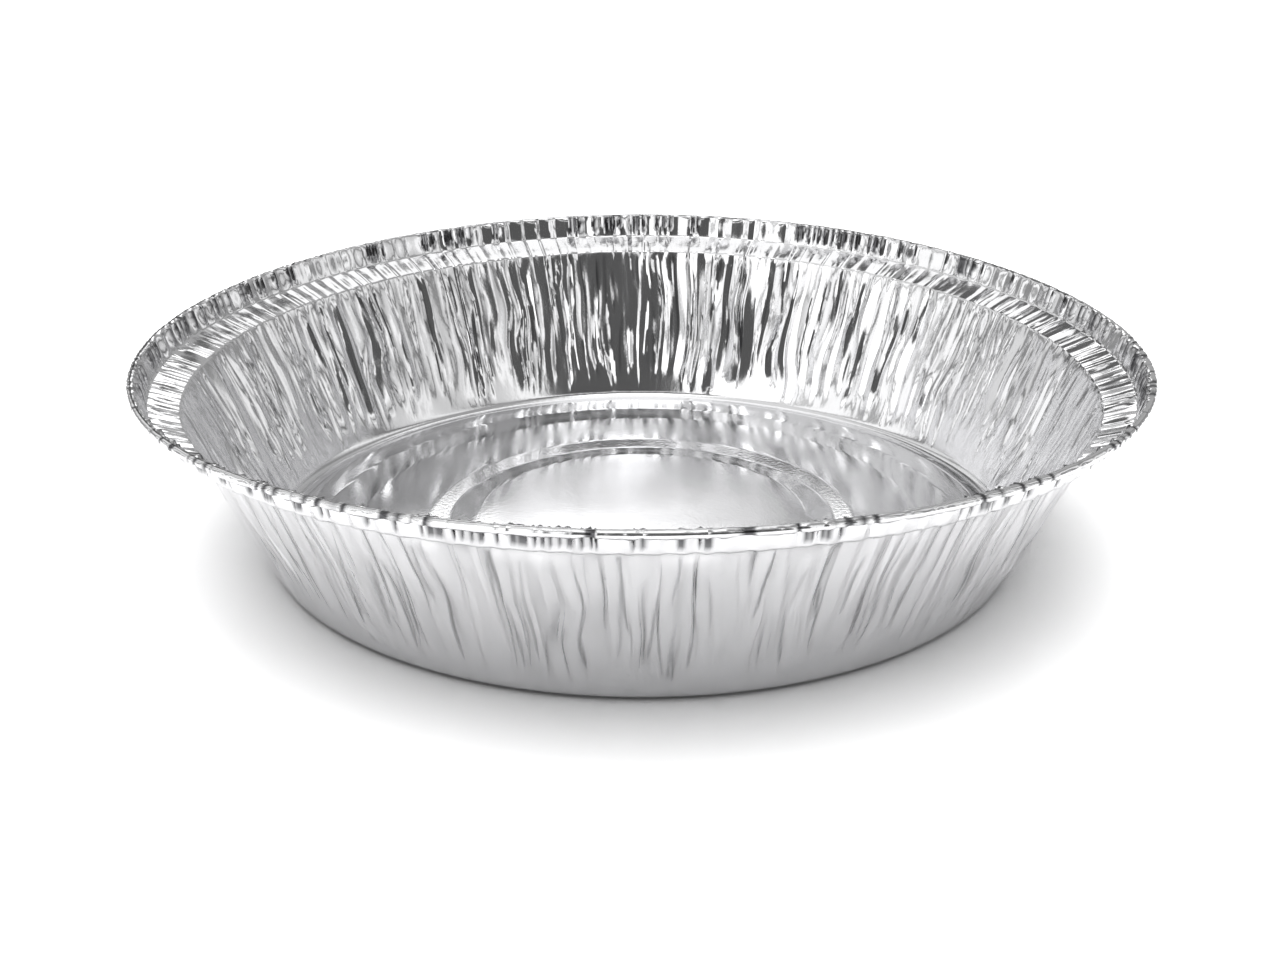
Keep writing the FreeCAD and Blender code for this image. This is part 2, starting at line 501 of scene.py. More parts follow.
@dataclass
class Pleats:
    """The folds round the wall: the main ones of the drawing and the finer creases between them.

    A place along a fold or a crease is a share of the wall's height, and a width is in columns of the mesh.
    Cells say how fine a noise is, round the tin and up the wall.
    """

    # main folds, as on the drawing
    count: int = 156
    depth: float = 0.6
    shallowest: float = 0.3
    deepest: float = 0.7
    foot: float = 7.0
    foot_scatter: float = 3.5
    scatter: float = 0.3
    seed: int = 23
    columns_per_fold: int = 5
    foot_drop: float = 4.0
    fade_in: float = 5.0

    # strength and length of each main fold, and how far it strays
    fold_seed: int = 265
    plain_share: float = 0.24
    fold_spread: float = 0.45
    fold_middle: Range = (0.35, 0.9)
    fold_reach: Range = (0.4, 1.0)
    group_cells: Cells = (34, 1)
    group_gain: float = 0.6
    group_mean: float = 0.5
    wander: float = 0.8
    wander_cells: Cells = (70, 3)
    own_wander: float = 0.13
    own_wander_rows: int = 4

    # how the wall runs into the ledge, and its soft unevenness
    top_blend: float = 0.1
    top_share: float = 0.6
    swell: float = 0.16
    swell_cells: Cells = (80, 2)
    wobble: float = 0.04
    wobble_cells: Cells = (420, 6)

    # short sharp creases that cross the folds, and the grain
    creases: int = 760
    crease_middle_at: Range = (0.1, 1.05)
    crease_length: Range = (0.12, 0.6)
    crease_least: float = 0.8
    crease_width: float = 3.4
    crease_slope: float = 0.2
    crease_steepness: Range = (0.3, 1.2)
    crease_drift: float = 5.0
    grain: float = 0.012
    grain_middle_at: Range = (0.2, 1.0)
    grain_length: Range = (0.15, 0.7)

    # folds of ledge and lip
    ledge_crease: float = 0.05
    ledge_lean: float = 1.3
    ledge_scatter: float = 1.8
    ledge_share: Range = (0.1, 1.1)
    lip_crease: float = 0.02
    lip_scatter: float = 1.4
    lip_share: Range = (0.4, 1.6)

    # pinches in the lip under the bead
    pinches: int = 270
    pinch_groups: int = 36
    pinch_spread: float = 15.0
    pinch_depth: float = 0.7
    pinch_side: float = 0.35
    pinch_from: float = 41.2
    pinch_to: float = 44.0

    # nicks in the bead
    nicks: int = 620
    nick_power: float = 2.5
    bead_nick: float = 0.045
    deepest_cut: float = 0.7
    deepest_nick: float = 4.0
    bead_swell: float = 0.07

    # painted shade in narrow gaps where the foil is taken as pinched shut on itself: dark lines along some
    # creases, dark pinches in the lip, dark spots at the bead's deepest nicks and a broken painted shadow
    # line under the bead
    crease_shade_most: float = 0.75
    crease_shade_width: float = 0.9
    crease_shade_core: float = 1.3
    pinch_shade_gain: float = 2.0
    nick_shade_from: float = 1.1
    nick_shade_to: float = 3.0
    bead_shadow_mean: float = 0.6
    bead_shadow_swing: float = 0.5
    bead_shadow_cells: tuple[Cells, ...] = ((46, 1), (380, 1))

    def __post_init__(self) -> None:
        """Draw the main folds in the drawing's own order, and then the finer ones."""
        source = random.Random(self.seed)
        folds = 2 * self.count
        pitch = FULL_TURN / folds
        drawn = []
        for index in range(folds):
            side = 1 if index % 2 == 0 else -1
            low = pitch * index + pitch * self.scatter * (2 * source.random() - 1)
            high = pitch * index + pitch * self.scatter * (2 * source.random() - 1)
            foot = self.foot + self.foot_scatter * (2 * source.random() - 1)
            wall = side * self.depth * source.uniform(self.shallowest, self.deepest)
            lip = side * self.depth * source.uniform(self.shallowest, self.deepest)
            drawn.append((low, high, foot, wall, lip))
        self.low, self.high, self.feet, self.wall_depth, self.lip_depth = np.array(drawn).T
        self.draw_folds(np.random.default_rng(self.fold_seed))
        self.draw_creases(np.random.default_rng(self.seed + 1))

    @property
    def columns(self) -> int:
        """Columns of the mesh round the wall."""
        return 2 * self.count * self.columns_per_fold

    def draw_folds(self, source: np.random.Generator) -> None:
        """Give each main fold a strength and a length of its own, and draw the soft unevenness.

        Args:
            source: Where the numbers come from, in the order of the lines.
        """
        folds = 2 * self.count
        groups = SmoothNoise(source, *self.group_cells).at(np.arange(folds) * FULL_TURN / folds, 0.0)
        share = smooth_step(groups * self.group_gain + self.group_mean)
        spread = np.exp(self.fold_spread * source.standard_normal(folds))
        self.strength = (self.plain_share + (1.0 - self.plain_share) * share) * spread
        self.middle = source.uniform(*self.fold_middle, folds)
        self.reach = source.uniform(*self.fold_reach, folds)
        self.group_wander = SmoothNoise(source, *self.wander_cells)
        self.fold_wander = SmoothNoise(source, folds, self.own_wander_rows)
        self.swell_noise = SmoothNoise(source, *self.swell_cells)
        self.wobble_noise = SmoothNoise(source, *self.wobble_cells)

    def draw_creases(self, source: np.random.Generator) -> None:
        """Draw the sharp short creases, the grain, what ledge, lip and bead have of their own, and the
        painted shade along the creases and under the bead.

        Args:
            source: Where the numbers come from, in the order of the lines.
        """
        self.crease_column = source.uniform(0, self.columns, self.creases)
        self.crease_middle = source.uniform(*self.crease_middle_at, self.creases)
        self.crease_reach = source.uniform(*self.crease_length, self.creases)
        sides = source.uniform(0.0, 1.0, (2, self.creases))
        self.crease_sides = self.crease_least + self.crease_width * sides ** 2
        side = np.where(source.uniform(0.0, 1.0, self.creases) < 0.5, -1.0, 1.0)
        slope = self.crease_slope * source.uniform(*self.crease_steepness, self.creases) ** 2
        self.crease_size = side * slope * self.crease_sides.min(axis=0)
        self.crease_lean = self.crease_drift * source.standard_normal(self.creases)
        self.grain_size = source.standard_normal(self.columns)
        self.grain_middle = source.uniform(*self.grain_middle_at, self.columns)
        self.grain_reach = source.uniform(*self.grain_length, self.columns)
        self.on_ledge = source.standard_normal(self.columns)
        self.on_lip = source.standard_normal(self.columns)
        folds = 2 * self.count
        self.ledge_shift = self.ledge_scatter * source.uniform(-1.0, 1.0, folds)
        self.ledge_shift[::2] -= self.ledge_lean
        self.ledge_depth = self.wall_depth * source.uniform(*self.ledge_share, folds)
        self.lip_shift = self.lip_scatter * source.uniform(-1.0, 1.0, folds)
        self.lip_fold = self.lip_depth * source.uniform(*self.lip_share, folds)
        self.on_pinch = self.draw_pinches(source)
        nicks = np.abs(source.standard_normal(self.nicks)) ** self.nick_power
        spots = np.linspace(0.0, self.columns, self.nicks, endpoint=False)
        nicks = np.minimum(nicks, self.deepest_nick)
        self.on_bead = np.interp(np.arange(self.columns), spots, nicks, period=self.columns)
        # painted shade: how dark a line each crease gets where the wall is taken as pinched shut
        self.crease_shade = self.crease_shade_most * source.uniform(0.0, 1.0, self.creases) ** 2
        # painted shadow: a broken dark line under the bead, its strength round the tin from noise
        around = np.arange(self.columns) * FULL_TURN / self.columns
        self.bead_shadow = np.full(self.columns, self.bead_shadow_mean)
        for cells in self.bead_shadow_cells:
            self.bead_shadow += self.bead_shadow_swing * SmoothNoise(source, *cells).at(around, 0.0)

    def draw_pinches(self, source: np.random.Generator) -> np.ndarray:
        """Draw the pinches in the lip, which lie in groups.

        Args:
            source: Where the numbers come from.

        Returns:
            Depth of the pinch on each column.
        """
        centres = source.uniform(0, self.columns, self.pinch_groups)
        spots = source.choice(centres, self.pinches)
        spots = spots + self.pinch_spread * source.standard_normal(self.pinches)
        pinched = np.zeros(self.columns)
        for step, share in ((-1, self.pinch_side), (0, 1.0), (1, self.pinch_side)):
            pinched[(spots.astype(int) + step) % self.columns] += share
        return self.pinch_depth * np.minimum(pinched, 1.0)

    def spread(self, values: np.ndarray, turn: float = 0.0) -> np.ndarray:
        """Values on the folds, drawn out in straight lines over all columns.

        Args:
            values: One value for each fold.
            turn: What a full turn adds, which is two pi for an angle.

        Returns:
            One value for each column.
        """
        after = np.roll(values, -1)
        after[-1] += turn
        steps = np.arange(self.columns_per_fold) / self.columns_per_fold
        return (values[:, None] + (after - values)[:, None] * steps[None, :]).ravel()

    def shifted(self, values: np.ndarray, shift: np.ndarray) -> np.ndarray:
        """Values on the folds, with each fold drawn over to one side.

        Args:
            values: One value for each fold.
            shift: How many columns each fold is drawn over by.

        Returns:
            One value for each column.
        """
        place = np.arange(2 * self.count) * float(self.columns_per_fold) + shift
        return np.interp(np.arange(self.columns), place, values, period=self.columns)

    def angles(self, climb: float, radius: float) -> np.ndarray:
        """Angle of every column on a ring.

        Args:
            climb: Share of the way up the wall.
            radius: Radius of the ring.

        Returns:
            The angles, in order round the tin.
        """
        pitch = FULL_TURN / (2 * self.count)
        free = math.sin(math.pi * min(max(climb, 0.0), 1.0))
        on_folds = self.low + (self.high - self.low) * climb
        on_folds = on_folds + self.group_wander.at(on_folds, climb) * free * self.wander / radius
        on_folds = on_folds + self.fold_wander.at(on_folds, climb) * free * self.own_wander * pitch
        return self.spread(np.sort(on_folds), FULL_TURN)

    def crease_places(self, climb: float) -> tuple[np.ndarray, np.ndarray]:
        """Where the sharp creases cross a ring.

        Args:
            climb: Share of the way up the wall.

        Returns:
            The crossings, and the last column before each.
        """
        place = self.crease_column + self.crease_lean * (climb - self.crease_middle)
        return place, np.floor(place).astype(int)

    def sharp_creases(self, climb: float) -> np.ndarray:
        """Depth of the short narrow creases that cross the columns at a lean.

        Args:
            climb: Share of the way up the wall.

        Returns:
            One value for each column.
        """
        size = self.crease_size * lens(climb, self.crease_middle, self.crease_reach)
        place, first = self.crease_places(climb)
        values = np.zeros(self.columns)
        widest = math.ceil(float(self.crease_sides.max()))
        for step in range(-widest, widest + 2):
            away = first + step - place
            side = np.where(away < 0.0, self.crease_sides[0], self.crease_sides[1])
            tent = size * np.clip(1.0 - np.abs(away) / side, 0.0, 1.0)
            np.add.at(values, (first + step) % self.columns, tent)
        return values

    def crease_shade_at(self, climb: float) -> np.ndarray:
        """Painted shade along the line of each sharp crease, where the wall is taken as pinched shut.

        Args:
            climb: Share of the way up the wall.

        Returns:
            One value for each column, from 0 for no painted shade to 1 for full.
        """
        tight = self.crease_shade * np.sqrt(lens(climb, self.crease_middle, self.crease_reach))
        place, first = self.crease_places(climb)
        values = np.zeros(self.columns)
        for step in (0, 1):
            away = np.abs(first + step - place)
            tent = tight * np.clip(self.crease_shade_core - away / self.crease_shade_width, 0.0, 1.0)
            np.maximum.at(values, (first + step) % self.columns, tent)
        return values

    def on_wall(self, row: Row, climb: float, angles: np.ndarray) -> np.ndarray:
        """Depth of the wall's folds on one ring.

        Args:
            row: The ring.
            climb: Share of the way up the wall.
            angles: Angle of each column.

        Returns:
            One value for each column.
        """
        grown = smooth_step((row.height - self.feet + self.foot_drop) / self.fade_in)
        main = self.wall_depth * self.strength * lens(climb, self.middle, self.reach) * grown
        rough = self.grain_size * lens(climb, self.grain_middle, self.grain_reach) * self.grain
        soft = self.swell_noise.at(angles, climb) * self.swell
        soft = soft + self.wobble_noise.at(angles, climb) * self.wobble
        return self.spread(main) + (rough + soft + self.sharp_creases(climb)) * self.spread(grown)

    def pinched_share(self, row: Row) -> float:
        """How much of a pinch shows on a ring of the lip; below nothing under the pinches."""
        return (row.height - self.pinch_from) / (self.pinch_to - self.pinch_from)

    def depths(self, row: Row, climb: float, angles: np.ndarray) -> np.ndarray:
        """How far every column of a ring is moved along the ring's shift.

        Args:
            row: The ring.
            climb: Share of the way up the wall.
            angles: Angle of each column.

        Returns:
            The depths, positive towards the food.
        """
        if row.zone is Zone.BEND:
            return np.zeros(self.columns)
        ledge = self.shifted(self.ledge_depth, self.ledge_shift) + self.on_ledge * self.ledge_crease
        if row.zone is Zone.WALL:
            near_top = float(smooth_step(np.array((climb - 1.0) / self.top_blend + 1.0))) * self.top_share
            return self.on_wall(row, climb, angles) * (1.0 - near_top) + ledge * near_top
        if row.zone is Zone.LEDGE:
            return ledge * row.share
        if row.zone is Zone.LIP:
            main = self.shifted(self.lip_fold, self.lip_shift) + self.on_lip * self.lip_crease
            return main * row.share + self.on_pinch * min(max(self.pinched_share(row), 0.0), 1.0)
        uneven = np.abs(self.wobble_noise.at(angles, 0.5) * self.bead_swell)
        return -np.minimum((self.on_bead * self.bead_nick + uneven) * row.share, self.deepest_cut)

    def painted_shade(self, row: Row, climb: float) -> np.ndarray:
        """Painted shade on a ring, from 0 for none to 1 for full, where the sheet is taken as pinched shut
        on itself.

        Args:
            row: The ring.
            climb: Share of the way up the wall.

        Returns:
            One value for each column.
        """
        # painted shade: thin dark lines along the sharp creases
        if row.zone is Zone.WALL:
            grown = smooth_step((row.height - self.feet) / self.fade_in)
            return self.crease_shade_at(climb) * self.spread(grown)
        # painted shade: the lip's pinches darkened, fully from partway up them
        if row.zone is Zone.LIP:
            shown = min(max(self.pinch_shade_gain * self.pinched_share(row), 0.0), 1.0)
            return self.on_pinch / self.pinch_depth * shown
        # painted shade on the bead: dark spots at the deepest nicks, and the painted shadow line on its
        # rings toward the cut edge
        if row.zone is Zone.CURL:
            nick_shade = (self.on_bead - self.nick_shade_from) / (self.nick_shade_to - self.nick_shade_from)
            bead_shadow_here = self.bead_shadow * float(np.clip(row.share - 1.0, 0.0, 1.0))
            return np.clip(np.maximum(nick_shade, bead_shadow_here), 0.0, 1.0)
        return np.zeros(self.columns)


@dataclass(frozen=True)
class FoilFinish:
    """Bright rolled aluminium foil."""

    colour: tuple[float, float, float] = (0.84, 0.84, 0.85)
    # painted shade: the dark colour mixed in, and how the ambient occlusion that drives it is read
    painted_shade_colour: tuple[float, float, float] = (0.10, 0.10, 0.105)
    shade_reach: float = 0.0018
    shade_none_at: float = 0.72
    shade_full_at: float = 0.25
    shade_samples: int = 4
    roughness: float = 0.14
    roughness_spread: float = 0.08
    floor_satin: float = 0.06
    cloud_size: float = 0.012
    cloud_detail: float = 3.0
    grain_size: float = 0.0009
    grain_detail: float = 2.0
    grain_depth: float = 0.00002

    def material(self) -> bpy.types.Material:
        """Build the material.

        Returns:
            Metal with cloudy roughness and a fine crumple, and painted shade in narrow hollows and along
            creases, pinches and under the bead.
        """
        material = bpy.data.materials.new("foil")
        material.use_nodes = True
        tree = material.node_tree
        shader = tree.nodes["Principled BSDF"]
        shader.inputs["Metallic"].default_value = 1.0
        place = tree.nodes.new("ShaderNodeTexCoord").outputs["Object"]
        # base colour with painted shade in hollows, creases, pinches and under the bead
        tree.links.new(self.shaded_tone(tree), shader.inputs["Base Color"])
        tree.links.new(self.gloss(tree, place), shader.inputs["Roughness"])
        tree.links.new(self.crumple(tree, place), shader.inputs["Normal"])
        return material

    def shaded_tone(self, tree: Tree) -> Socket:
        """Colour of the foil with painted shade: darker in narrow hollows, found by ambient occlusion, and
        where the mesh holds painted shade.

        Args:
            tree: Where the nodes go.

        Returns:
            The colour, with the painted shade in it.
        """
        # painted shade: ambient occlusion darkens narrow hollows towards the dark colour
        occlusion = tree.nodes.new("ShaderNodeAmbientOcclusion")
        occlusion.samples = self.shade_samples
        occlusion.inputs["Distance"].default_value = self.shade_reach
        unshaded = tree.nodes.new("ShaderNodeMapRange")
        unshaded.inputs["From Min"].default_value = self.shade_full_at
        unshaded.inputs["From Max"].default_value = self.shade_none_at
        tree.links.new(occlusion.outputs["AO"], unshaded.inputs["Value"])
        # and darker still where the mesh holds painted shade
        unshaded_left = combined(tree, "SUBTRACT", unshaded.outputs["Result"], kept_value(tree, PAINTED_SHADE))
        shaded_tone = tree.nodes.new("ShaderNodeMix")
        shaded_tone.data_type = "RGBA"
        shaded_tone.inputs["A"].default_value = (*self.painted_shade_colour, 1.0)
        shaded_tone.inputs["B"].default_value = (*self.colour, 1.0)
        tree.links.new(unshaded_left, shaded_tone.inputs["Factor"])
        return shaded_tone.outputs["Result"]

    def gloss(self, tree: Tree, place: Socket) -> Socket:
        """Roughness in soft clouds, with satin floor panels.

        Args:
            tree: Where the nodes go.
            place: Where on the object.

        Returns:
            The roughness.
        """
        half = self.roughness_spread / 2
        cloud = clouds(tree, place, self.cloud_size, self.cloud_detail)
        satin = tree.nodes.new("ShaderNodeMath")
        satin.operation = "MULTIPLY_ADD"
        satin.inputs[1].default_value = self.floor_satin
        tree.links.new(kept_value(tree, STAMPED), satin.inputs[0])
        tree.links.new(ranged(tree, cloud, self.roughness - half, self.roughness + half), satin.inputs[2])
        return satin.outputs["Value"]

    def crumple(self, tree: Tree, place: Socket) -> Socket:
        """The finest grain of the foil, too small for the mesh.

        Args:
            tree: Where the nodes go.
            place: Where on the object.

        Returns:
            The surface's direction.
        """
        bump = tree.nodes.new("ShaderNodeBump")
        bump.inputs["Strength"].default_value = 1.0
        bump.inputs["Distance"].default_value = self.grain_depth
        tree.links.new(clouds(tree, place, self.grain_size, self.grain_detail), bump.inputs["Height"])
        return bump.outputs["Normal"]


@dataclass
class PieTin:
    """The whole tin, one sheet of foil."""

    section: Section = field(default_factory=Section)
    pleats: Pleats = field(default_factory=Pleats)
    finish: FoilFinish = field(default_factory=FoilFinish)
    rim_saddle: float = 1.4
    floor_swell: float = 0.02
    floor_waves: int = 9
    wave_length: float = 40.0
    wave_spread: Range = (0.6, 1.6)
    burnish: float = 0.7
    sharp_angle: float = 13.0
    columns_per_floor_side: int = 3

    def __post_init__(self) -> None:
        """Start with no rings, and draw the floor's slight waves."""
        self.points: list[np.ndarray] = []
        # painted shade of each ring's points
        self.painted_shade: list[np.ndarray] = []
        self.faces: list[tuple[int, ...]] = []
        self.count = 0
        self.rows = self.section.rows()
        self.spring_start = self.rows[self.section.bend_rows - 1].height
        self.spring_end = max(row.height for row in self.rows)
        source = np.random.default_rng(self.pleats.seed + 2)
        turn = source.uniform(0.0, FULL_TURN, self.floor_waves)
        length = source.uniform(*self.wave_spread, self.floor_waves) * self.wave_length
        self.wave_across = FULL_TURN / length * np.cos(turn)
        self.wave_along = FULL_TURN / length * np.sin(turn)
        self.wave_start = source.uniform(0.0, FULL_TURN, self.floor_waves)

    def add_ring(self, angles: np.ndarray, radii: np.ndarray, heights: np.ndarray) -> np.ndarray:
        """Add a ring of points, with the spring of the rim.

        Args:
            angles: Angle of each point.
            radii: Radius of each point.
            heights: Height of each point above the table.

        Returns:
            The points' numbers.
        """
        share = np.clip((heights - self.spring_start) / (self.spring_end - self.spring_start), 0.0, None)
        lift = -self.rim_saddle * share * np.cos(2 * angles)
        ring = np.stack([radii * np.cos(angles), radii * np.sin(angles), heights + lift], axis=1)
        self.points.append(ring)
        numbers = np.arange(self.count, self.count + len(ring))
        self.count += len(ring)
        return numbers

    def add_band(self, inner: np.ndarray, outer: np.ndarray) -> None:
        """Join two rings with the same number of points."""
        quads = np.stack([inner, outer, np.roll(outer, -1), np.roll(inner, -1)], axis=1)
        self.faces += [tuple(quad) for quad in quads.tolist()]

    def add_fan_band(self, inner: np.ndarray, outer: np.ndarray) -> None:
        """Join a ring to one with a whole number of times as many points.

        Args:
            inner: Points' numbers of the ring with fewer points.
            outer: Points' numbers of the other ring.
        """
        times = len(outer) // len(inner)
        half = (times + 1) // 2
        for side, spot in enumerate(inner.tolist()):
            after = int(inner[(side + 1) % len(inner)])
            for step in range(times):
                one = int(outer[side * times + step])
                two = int(outer[(side * times + step + 1) % len(outer)])
                near = spot if step < half else after
                self.faces.append((near, one, two))
                if step == half - 1:
                    self.faces.append((spot, two, after))

    def floor_heights(self, angles: np.ndarray, radius: float, height: float) -> np.ndarray:
        """Height of the floor, with its slight swell where it is off the table.

        Args:
            angles: Angle of each point of a ring.
            radius: Radius of the ring.
            height: Height of the ring on the drawing.

        Returns:
            Height of each point.
        """
        raised = min(1.0, max(0.0, (height - self.section.table) / self.section.panel_height))
        across = np.outer(self.wave_across, radius * np.cos(angles))
        along = np.outer(self.wave_along, radius * np.sin(angles))
        waves = np.sin(across + along + self.wave_start[:, None]).sum(axis=0)
        return height + raised * self.floor_swell * waves

    def build_floor(self) -> np.ndarray:
        """Build the floor's rings.

        Returns:
            Points' numbers of the outermost ring, where the sheet bends up.
        """
        angles = self.pleats.angles(0.0, self.section.base_radius)[::self.columns_per_floor_side]
        rings = []
        for radius, height in self.section.floor_rings():
            heights = self.floor_heights(angles, radius, height)
            rings.append(self.add_ring(angles, np.full(len(angles), radius), heights))
            self.painted_shade.append(np.zeros(len(angles)))
        self.points.append(np.array([[0.0, 0.0, float(self.points[0][:, 2].mean())]]))
        self.painted_shade.append(np.zeros(1))
        middle = self.count
        self.count += 1
        after = np.roll(rings[0], -1)
        self.faces += [(middle, int(one), int(two)) for one, two in zip(rings[0], after)]
        for inner, outer in zip(rings, rings[1:]):
            self.add_band(inner, outer)
        return rings[-1]

    def build_wall(self, floor_edge: np.ndarray) -> None:
        """Build the rings from the bend to the cut edge.

        Args:
            floor_edge: Points' numbers of the floor's outermost ring.
        """
        wall_end = self.section.wall_top[1]
        last = floor_edge
        for row in self.rows:
            climb = min(1.0, max(0.0, (row.height - self.spring_start) / (wall_end - self.spring_start)))
            angles = self.pleats.angles(climb, row.radius)
            depths = self.pleats.depths(row, climb, angles)
            radii = row.radius + row.shift[0] * depths
            ring = self.add_ring(angles, radii, row.height + row.shift[1] * depths)
            # painted shade of the ring, for the foil's colour
            self.painted_shade.append(self.pleats.painted_shade(row, climb))
            if len(last) == len(ring):
                self.add_band(last, ring)
            else:
                self.add_fan_band(last, ring)
            last = ring

    def satin(self, radii: np.ndarray) -> np.ndarray:
        """How satin the floor is: 1 on its panels, and below 0 on the creases that the die burnished.

        Args:
            radii: Radius of each point of the sheet.

        Returns:
            One value for each point, nothing on the wall and the rim.
        """
        creases = np.array([radius for radius, _ in self.section.floor_creases()])
        away = np.abs(radii[:, None] - creases[None, :]).min(axis=1)
        panel = smooth_step(away / self.section.crease_rounding - 1.0)
        on_floor = smooth_step((self.section.base_radius - radii) / self.section.corner_bend)
        return (panel * (1.0 + self.burnish) - self.burnish) * on_floor

    def soften_rings(self, mesh: bpy.types.Mesh) -> None:
        """Keep only the creases that run up the sheet, so that its bends stay round.

        Args:
            mesh: The mesh, with its creases marked by angle.
        """
        ring_of = np.repeat(np.arange(len(self.points)), [len(ring) for ring in self.points])
        ends = np.empty(2 * len(mesh.edges), dtype=np.int32)
        mesh.edges.foreach_get("vertices", ends)
        first, second = ends.reshape(-1, 2).T
        creases = mesh.attributes["sharp_edge"].data
        sharp = np.empty(len(mesh.edges), dtype=bool)
        creases.foreach_get("value", sharp)
        creases.foreach_set("value", sharp & (ring_of[first] != ring_of[second]))

    def build(self) -> bpy.types.Object:
        """Build the mesh and dress it.

        Returns:
            The tin.
        """
        self.build_wall(self.build_floor())
        points = np.concatenate(self.points) * MM
        mesh = bpy.data.meshes.new("foil_sheet")
        mesh.from_pydata(points.tolist(), [], self.faces)
        mesh.update()
        mesh.shade_smooth()
        mesh.set_sharp_from_angle(angle=math.radians(self.sharp_angle))
        self.soften_rings(mesh)
        stamped = self.satin(np.hypot(points[:, 0], points[:, 1]) / MM)
        # painted shade and the floor's satin, kept on the points for the material
        for name, values in ((PAINTED_SHADE, np.concatenate(self.painted_shade)), (STAMPED, stamped)):
            layer = mesh.attributes.new(name, "FLOAT", "POINT")
            layer.data.foreach_set("value", values.astype(np.float32))
        mesh.materials.append(self.finish.material())
        tin = placed("foil_sheet", mesh)
        triangles = sum(len(face) - 2 for face in self.faces)
        log.info("foil_sheet: %d points, %d triangles", len(points), triangles)
        return tin


@dataclass(frozen=True)
class Patch:
    """A soft-edged part of the surroundings that the foil mirrors, in degrees.

    Args:
        azimuth: Middle, 0 behind the camera, 90 to the right.
        elevation: Middle, above the table.
        half_width: Half its width.
        half_height: Half its height.
        softness: Width of its fading edge.
        brightness: Its brightness, 1 for white.
    """

    azimuth: float
    elevation: float
    half_width: float
    half_height: float
    softness: float
    brightness: float


